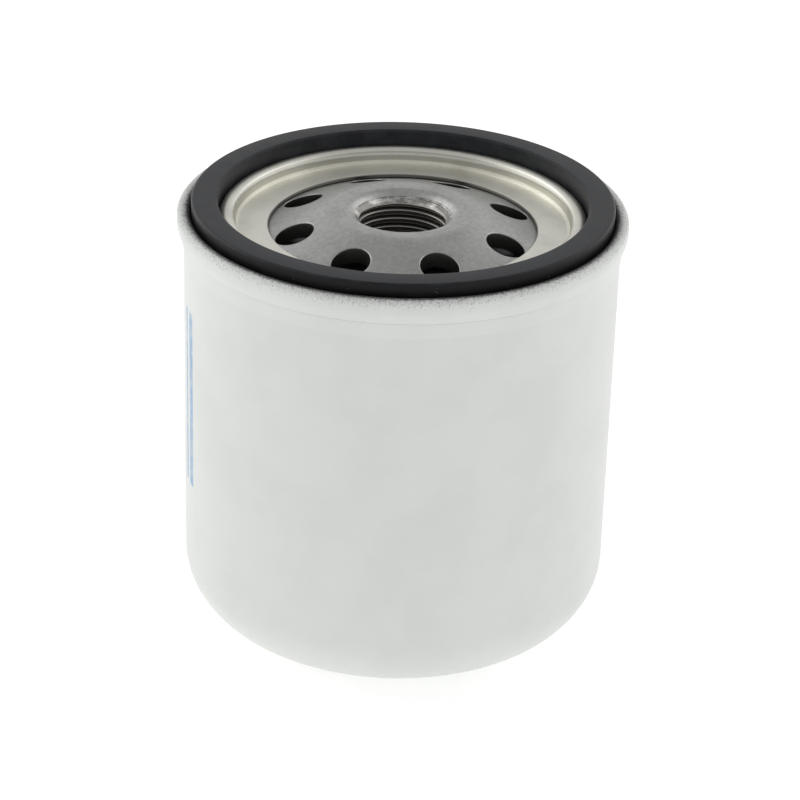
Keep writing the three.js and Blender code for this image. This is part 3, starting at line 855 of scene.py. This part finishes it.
def metal(name, color, dark, roughness, grain=1.6):
    """Rolled sheet or drawn steel: fine grain, soft stains and small scratches."""
    material, tree, shader, place = new_finish(name)
    cloud = noise(tree, place, 0.16, 5.0)
    fine = noise(tree, place, grain, 6.0, 0.7)
    scratch = noise(tree, stretched(tree, place, (0.6, 7.0, 2.0)), 1.1, 3.0, 0.8)
    stains = span(tree, cloud, 0.42, 0.72)
    tone = plus(tree, times(tree, stains, 0.5), times(tree, span(tree, fine, 0.35, 0.75), 0.18))
    tree.links.new(mixed(tree, tone, color, dark), shader.inputs["Base Color"])
    rough = plus(tree, varied(tree, roughness, fine, 0.22), times(tree, stains, 0.06))
    tree.links.new(rough, shader.inputs["Roughness"])
    shader.inputs["Metallic"].default_value = 1.0
    height = plus(tree, times(tree, fine, 0.7), times(tree, scratch, 0.3))
    set_bump(tree, shader, height, 0.004)
    return material


def soft(name, color, second, roughness, grain, depth, specular=0.4):
    """Rubber, paper or resin: mottled colour, grain and uneven gloss."""
    material, tree, shader, place = new_finish(name)
    cloud = noise(tree, place, 0.25, 5.0)
    fine = noise(tree, place, grain, 5.0, 0.65)
    patches = times(tree, span(tree, cloud, 0.35, 0.75), 0.7)
    tone = plus(tree, patches, times(tree, span(tree, fine, 0.4, 0.75), 0.3))
    tree.links.new(mixed(tree, tone, color, second), shader.inputs["Base Color"])
    tree.links.new(varied(tree, roughness, fine, 0.25), shader.inputs["Roughness"])
    shader.inputs["Specular IOR Level"].default_value = specular
    set_bump(tree, shader, fine, depth)
    return material


def enamel_tone(tree, place):
    """Colour, roughness and bump height of the sprayed white enamel."""
    cloud = noise(tree, place, 0.09, 4.0)
    peel = noise(tree, place, 0.9, 3.0, 0.5)
    rub = noise(tree, stretched(tree, place, (1.0, 1.0, 4.0)), 0.5, 7.0, 0.75)
    scuffs = times(tree, span(tree, rub, 0.63, 0.78), 0.5)
    tone = plus(tree, scuffs, times(tree, span(tree, cloud, 0.38, 0.66), 0.26))
    color = mixed(tree, tone, ENAMEL, ENAMEL_SCUFFED)
    rough = plus(tree, varied(tree, 0.36, peel, 0.12), times(tree, scuffs, 0.3))
    return color, rough, peel


def can_finish():
    """Enamel with two worn blue rules printed down one side."""
    material, tree, shader, place = new_finish("white_enamel")
    color, rough, peel = enamel_tone(tree, place)
    _, angle, height = polar(tree, place)
    rule_top, rule_bottom = TOP - 17, TOP - 49.5
    thin_rule = calc(tree, "COMPARE", angle, math.radians(-166), math.radians(0.9))
    wide_rule = calc(tree, "COMPARE", angle, math.radians(-161.4), math.radians(1.6))
    wear = noise(tree, stretched(tree, place, (0.5, 0.5, 0.35)), 1.0, 4.0, 0.7)
    left_on = span(tree, wear, 0.36, 0.56, 0.45, 0.85)
    rules = times(tree, calc(tree, "MAXIMUM", thin_rule, wide_rule), left_on)
    within = calc(tree, "COMPARE", height, (rule_top + rule_bottom) / 2, (rule_top - rule_bottom) / 2)
    ink = times(tree, rules, within)
    tree.links.new(mixed(tree, ink, color, PRINT_BLUE), shader.inputs["Base Color"])
    tree.links.new(rough, shader.inputs["Roughness"])
    set_bump(tree, shader, peel, 0.006)
    return material


def plated_tone(tree, radius, cloud, fine):
    """Colour of the plating: soft stains, a painted highlight line and a painted shade on the bead, and a
    painted shadow at the land's cut edge.
    """
    stains = plus(tree, times(tree, span(tree, cloud, 0.4, 0.75), 0.55),
                  times(tree, span(tree, fine, 0.4, 0.8), 0.25))
    color = mixed(tree, stains, PLATING, PLATING_DARK)
    foot = calc(tree, "COMPARE", radius, BEAD_INNER_RADIUS - 0.4, 0.1)
    flank = calc(tree, "COMPARE", radius, BEAD_INNER_RADIUS + 0.1, 0.2)
    # Painted shadow in the gap where the land's cut edge meets the base plate.
    land_edge_shadow = span(tree, radius, LAND_INNER_RADIUS + 0.05, LAND_INNER_RADIUS + 0.2, 0.85, 0.0)
    # Painted highlight: a bright line along the foot of the bead.
    color = mixed(tree, times(tree, foot, 0.9), color, FOOT_HIGHLIGHT)
    color = mixed(tree, times(tree, flank, 0.55), color, FLANK_SHADE)
    return mixed(tree, land_edge_shadow, color, LAND_EDGE_SHADOW)


def lid_finish():
    """Plated steel inside the gasket. Outside it the sprayed enamel thins to a grainy edge."""
    material, tree, shader, place = new_finish("plated_lid_with_overspray")
    radius, angle, height = polar(tree, place)
    grain = noise(tree, place, 3.6, 4.0, 0.75)
    speckle = noise(tree, place, 1.5, 5.0, 0.7)
    cloud = noise(tree, place, 0.14, 5.0)
    fine = noise(tree, place, 1.8, 6.0, 0.7)
    color, rough, peel = enamel_tone(tree, place)

    # The spray covers the seam's wall, thins over its crown, and reaches further in at the back. Where it
    # thins, the dark crown colour is part bare metal and part painted shade from the gap beside the gasket,
    # so the painted shade is widest at the front.
    painted = span(tree, radius, GASKET_OUTER_RADIUS - 0.2, GASKET_OUTER_RADIUS)
    lopsided = calc(tree, "MULTIPLY_ADD", calc(tree, "SINE", angle), 0.6, radius)
    outward = span(tree, lopsided, 35.8, 37.2, 0.0, 0.85)
    downward = span(tree, height, TOP - 4.2, TOP - 2.7, 0.4, 0.0)
    spray_and_gap_shade = plus(tree, outward, downward)
    thin = calc(tree, "SUBTRACT", 1.0, calc(tree, "MINIMUM", spray_and_gap_shade, 1.0))
    spatter = calc(tree, "SUBTRACT", plus(tree, times(tree, grain, 2.6), speckle), 1.8)
    grit = span(tree, plus(tree, spray_and_gap_shade, spatter), 0.1, 0.95, 1.0, 0.0)
    sprayed_and_shaded = mixed(tree, grit, color, mixed(tree, spray_and_gap_shade, BARE_AND_SHADED_CROWN, THIN_ENAMEL))

    plated = plated_tone(tree, radius, cloud, fine)
    tree.links.new(mixed(tree, painted, plated, sprayed_and_shaded), shader.inputs["Base Color"])
    tree.links.new(calc(tree, "SUBTRACT", 1.0, painted), shader.inputs["Metallic"])
    satin = varied(tree, 0.38, fine, 0.2)
    sprayed_rough = plus(tree, rough, times(tree, grit, 0.25))
    rough_step = calc(tree, "SUBTRACT", sprayed_rough, satin)
    tree.links.new(calc(tree, "MULTIPLY_ADD", rough_step, painted, satin), shader.inputs["Roughness"])
    lumps = times(tree, times(tree, times(tree, grain, thin), 2.4), painted)
    relief = plus(tree, plus(tree, times(tree, peel, 0.4), lumps), times(tree, fine, 0.06))
    set_bump(tree, shader, relief, 0.02)
    return material


def plate_finish():
    """Bare pressed steel: patchy chamfer with painted glints, painted shade in the bore, and darker painted
    shade in the thread roots and on the inlet walls.
    """
    material, tree, shader, place = new_finish("bare_pressed_steel")
    radius, _, height = polar(tree, place)
    cloud = noise(tree, place, 0.12, 5.0)
    fine = noise(tree, place, 2.4, 6.0, 0.7)
    mottle = noise(tree, place, 1.3, 3.0, 0.6)
    stains = plus(tree, times(tree, span(tree, cloud, 0.38, 0.72), 0.45),
                  times(tree, span(tree, mottle, 0.38, 0.66), 0.4))
    stains = plus(tree, stains, times(tree, span(tree, fine, 0.4, 0.8), 0.2))

    chamfer_bottom = TOP + CHAMFER_BOTTOM
    below_chamfer = span(tree, height, chamfer_bottom - 0.1, chamfer_bottom + 0.3, 1.0, 0.0)
    bore_edge = THREAD_MAJOR_RADIUS + 0.3
    in_bore = times(tree, span(tree, radius, bore_edge, bore_edge + 0.3, 1.0, 0.0), below_chamfer)
    # Painted shade in the thread roots, deepening outward between the two radii.
    root = times(tree, in_bore, span(tree, radius, THREAD_CREST_UNSHADED, THREAD_ROOT_DARK))
    above_bore = calc(tree, "SUBTRACT", 1.0, in_bore)
    chamfer = times(tree, span(tree, radius, bore_edge - 0.15, bore_edge, 1.0, 0.0), above_bore)
    patches = span(tree, noise(tree, stretched(tree, place, (1.0, 1.0, 1.6)), 0.4, 5.0, 0.6), 0.42, 0.7)
    # Painted shade on the steep inlet walls.
    steep = span(tree, calc(tree, "ABSOLUTE", facing_up(tree)), 0.35, 0.75, 1.0, 0.0)
    inlet_wall_shade = times(tree, steep, span(tree, radius, 13.0, 14.0))

    color = mixed(tree, stains, STEEL, STEEL_STAINED)
    # Chamfer patches: dark oily steel, and bright patches that are part worn steel, part painted glints.
    color = mixed(tree, chamfer, color, mixed(tree, patches, CHAMFER_OILY, CHAMFER_WORN_AND_GLINT))
    # Painted shade down the bore, below the chamfer.
    color = mixed(tree, times(tree, in_bore, 0.9), color, BORE_SHADE)
    color = mixed(tree, times(tree, root, 0.85), color, THREAD_ROOT_SHADE)
    color = mixed(tree, times(tree, inlet_wall_shade, 0.9), color, INLET_WALL_SHADE)
    tree.links.new(color, shader.inputs["Base Color"])
    shader.inputs["Metallic"].default_value = 1.0
    rough = plus(tree, varied(tree, 0.42, fine, 0.18), times(tree, stains, 0.08))
    rough = calc(tree, "SUBTRACT", rough, times(tree, in_bore, 0.08))
    tree.links.new(rough, shader.inputs["Roughness"])
    set_bump(tree, shader, fine, 0.005)
    return material


def gasket_finish():
    """Dark nitrile with a fine moulded grain, a few light specks of dust and painted shade on the outer
    wall.
    """
    material, tree, shader, place = new_finish("square_cut_nitrile")
    radius, _, _ = polar(tree, place)
    cloud = noise(tree, place, 0.35, 5.0)
    fine = noise(tree, place, 3.0, 5.0, 0.7)
    speck = span(tree, noise(tree, place, 1.9, 2.0, 0.4), 0.735, 0.76)
    bloom = plus(tree, times(tree, span(tree, cloud, 0.35, 0.7), 0.7), times(tree, fine, 0.3))
    middle_radius = (GASKET_INNER_RADIUS + GASKET_OUTER_RADIUS) / 2
    outer_half = span(tree, radius, middle_radius - 0.1, middle_radius + 0.1)
    # Painted shade on the upright outer wall.
    outer_wall_shade = times(tree, span(tree, facing_up(tree), 0.2, 0.95, 1.0, 0.0), outer_half)
    color = mixed(tree, bloom, NITRILE, NITRILE_BLOOM)
    color = mixed(tree, times(tree, outer_wall_shade, 0.85), color, NITRILE_WALL_SHADE)
    color = mixed(tree, times(tree, speck, 0.5), color, DUST)
    tree.links.new(color, shader.inputs["Base Color"])
    rough = plus(tree, varied(tree, 0.4, cloud, 0.3), times(tree, speck, 0.3))
    tree.links.new(rough, shader.inputs["Roughness"])
    shader.inputs["Specular IOR Level"].default_value = 0.2
    set_bump(tree, shader, fine, 0.012)
    return material


def build_finishes():
    return {
        "enamel": can_finish(),
        "lid": lid_finish(),
        "plate": plate_finish(),
        "tin": metal("tinplate", (0.62, 0.63, 0.62), (0.46, 0.46, 0.45), 0.27),
        "wire": metal("drawn_spring_wire", (0.30, 0.295, 0.285), (0.17, 0.165, 0.16), 0.34, 2.4),
        "gasket": gasket_finish(),
        "valve": soft("moulded_nitrile", (0.06, 0.059, 0.057), (0.088, 0.086, 0.082), 0.34, 1.8, 0.010, 0.7),
        "paper": soft("resin_cured_paper", (0.66, 0.43, 0.17), (0.56, 0.34, 0.12), 0.88, 4.0, 0.030, 0.15),
        "potting": soft("brick_red_plastisol", (0.36, 0.085, 0.05), (0.26, 0.06, 0.04), 0.5, 1.2, 0.020),
        "compound": soft("seaming_compound", (0.30, 0.29, 0.26), (0.22, 0.21, 0.19), 0.6, 1.8, 0.020),
    }


# ---------------------------------------------------------------- placing

def place_piece(piece, body, node, slot, *materials):
    """Gives a piece its finishes and the body it rides on, and hides the CAD node it stands for."""
    piece.data.materials.clear()
    for material in materials:
        piece.data.materials.append(material)
    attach(piece, body)
    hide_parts(node)


def build_pieces():
    finish = build_finishes()
    place_piece(can_shell(), "housing", "canister", "white_paint", finish["enamel"], finish["tin"])
    place_piece(seamed_lid(), "housing", "gasket_retainer", "plated_steel", finish["lid"])
    place_piece(gasket(), "housing", "sealing_gasket", "black_rubber", finish["gasket"])
    place_piece(seam_compound(), "housing", "seam_sealant", "seam_compound", finish["compound"])
    place_piece(base_plate(), "housing", "base_plate", "bare_steel", finish["plate"])
    place_piece(anti_drain_valve(), "anti_drain", "anti_drain_valve", "black_rubber", finish["valve"])

    place_piece(upper_cap(), "element", "upper_end_cap", "tinned_steel", finish["tin"])
    place_piece(lower_cap(), "element", "lower_end_cap", "tinned_steel", finish["tin"])
    for end in ("upper", "lower"):
        ring = turned_ring(f"{end}_potting_ring", f"{end}_potting", TUBE_RADIUS + 0.2, 0.3)
        place_piece(ring, "element", f"{end}_potting", "potting", finish["potting"])
    place_piece(pleats(), "element", "pleated_media", "filter_paper", finish["paper"])
    place_piece(clip(), "element", "media_clip", "tinned_steel", finish["tin"])
    place_piece(perforated_tube(), "element", "center_tube", "tinned_steel", finish["tin"])

    place_piece(bypass_seat(), "element", "bypass_seat", "tinned_steel", finish["tin"])
    place_piece(bypass_cage(), "element", "bypass_cage", "tinned_steel", finish["tin"])
    washer = turned_ring("bypass_washer", "bypass_seal", PIN_HOLE_RADIUS, 0.15)
    place_piece(washer, "bypass", "bypass_seal", "black_rubber", finish["valve"])
    place_piece(bypass_plate(), "bypass", "bypass_plate", "tinned_steel", finish["tin"])
    place_piece(bypass_pin(), "bypass", "bypass_pin", "spring_steel", finish["wire"])

    build_springs(finish["wire"])


def build_springs(finish):
    """Builds the support coil and the bypass coil, each with its own mesh."""
    _, bottom, top = box_mm("element_spring")
    support = wire_coil("support_coil", 0.9, 3.5, 12.6, 15.9, top, bottom)
    place_piece(support, "housing", "element_spring", "spring_steel", finish)
    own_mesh(support)

    _, bottom, top = box_mm("bypass_spring")
    relief = wire_coil("bypass_coil", 0.45, 5, 5.2, 5.2, top, bottom)
    place_piece(relief, "element", "bypass_spring", "spring_steel", finish)
    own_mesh(relief)


# ---------------------------------------------------------------- floor, light and camera

def build_floor():
    size, cells = 6.0, 24
    work = bmesh.new()
    bmesh.ops.create_grid(work, x_segments=cells, y_segments=cells, size=size / 2)
    floor = from_bmesh("floor", work)
    floor.location.z = cad_box[0].z - 0.05 * MM
    material, tree, shader, place = new_finish("pale_floor")
    cloud = noise(tree, place, 0.004, 3.0)
    tree.links.new(mixed(tree, cloud, (0.93, 0.93, 0.93), (0.90, 0.90, 0.90)), shader.inputs["Base Color"])
    tree.links.new(span(tree, cloud, 0.3, 0.7, 0.75, 0.9), shader.inputs["Roughness"])
    shader.inputs["Emission Color"].default_value = (1, 1, 1, 1)
    shader.inputs["Emission Strength"].default_value = 0.4
    floor.data.materials.append(material)


def area_light(name, location, aim, width, height, power):
    data = bpy.data.lights.new(name, "AREA")
    data.shape = "RECTANGLE"
    data.size = width
    data.size_y = height
    data.energy = power
    light = linked(name, data)
    light.location = location
    light.rotation_mode = "QUATERNION"
    light.rotation_quaternion = (Vector(aim) - Vector(location)).to_track_quat("-Z", "Y")


def build_light():
    """A pale tent with a large soft light on each side."""
    world = bpy.data.worlds.new("studio")
    bpy.context.scene.world = world
    world.use_nodes = True
    tree = world.node_tree
    tree.nodes.clear()
    direction = add(tree, "TexCoord").outputs["Generated"]
    up = add(tree, "SeparateXYZ", None, {0: direction}).outputs[2]
    tone = mixed(tree, span(tree, up, 0.25, 0.85), (0.85, 0.85, 0.85), (0.4, 0.4, 0.405))
    background = add(tree, "Background", None, {"Color": tone, "Strength": 1.0})
    output = add(tree, "OutputWorld")
    tree.links.new(background.outputs[0], output.inputs[0])
    middle = (0, 0, TOP * MM * 0.7)
    area_light("left_softbox", (-0.6, 0.22, 0.42), middle, 0.75, 0.6, 1.6)
    area_light("right_softbox", (0.6, 0.22, 0.42), middle, 0.75, 0.6, 1.05)


def build_camera():
    data = bpy.data.cameras.new("camera")
    data.sensor_width = 36
    data.lens = 128.79
    camera = linked("camera", data)
    top = TOP * MM
    location = Vector((0, -0.44365, top + 0.18352))
    aim = Vector((0.00042, 0, top - 0.03789))
    roll = Quaternion((0, 0, 1), math.radians(1.733))
    camera.rotation_mode = "QUATERNION"
    camera.location = location
    camera.rotation_quaternion = (aim - location).to_track_quat("-Z", "Y") @ roll
    bpy.context.scene.camera = camera


build_camera()
build_light()
build_floor()
build_pieces()

scene = bpy.context.scene
scene.view_settings.view_transform = "Standard"
scene.view_settings.look = "None"
